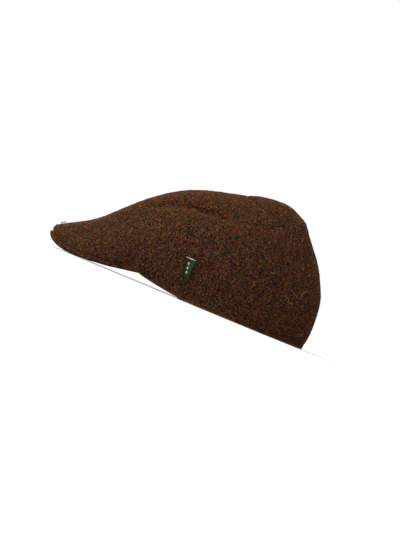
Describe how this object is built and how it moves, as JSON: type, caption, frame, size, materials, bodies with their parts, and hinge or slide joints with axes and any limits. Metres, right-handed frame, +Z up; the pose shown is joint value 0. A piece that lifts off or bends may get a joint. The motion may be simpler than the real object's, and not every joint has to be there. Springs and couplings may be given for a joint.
{
  "type": "duckbill cap",
  "caption": "Brown wool tweed duckbill flat cap sewn from four cloth panels, with a stiff covered peak, a folded side label and a small stud.",
  "frame": {"origin": "on the table under the middle of the cap: halfway from the lip of the peak to the back of the crown, on the middle line", "axes": "+Y towards the back of the head, -Y towards the lip of the peak, +Z up, +X towards the wearer's left"},
  "size_m": [0.173, 0.2717, 0.1246],
  "materials": {
    "tweed": "matte",
    "label": "matte",
    "stud": "satin"
  },
  "bodies": {
    "root": {"top_panel": "tweed", "side_panel_left": "tweed", "side_panel_right": "tweed", "back_panel": "tweed", "peak": "tweed", "label_tab": "label", "peak_stud": "stud"}
  },
  "joints": []
}
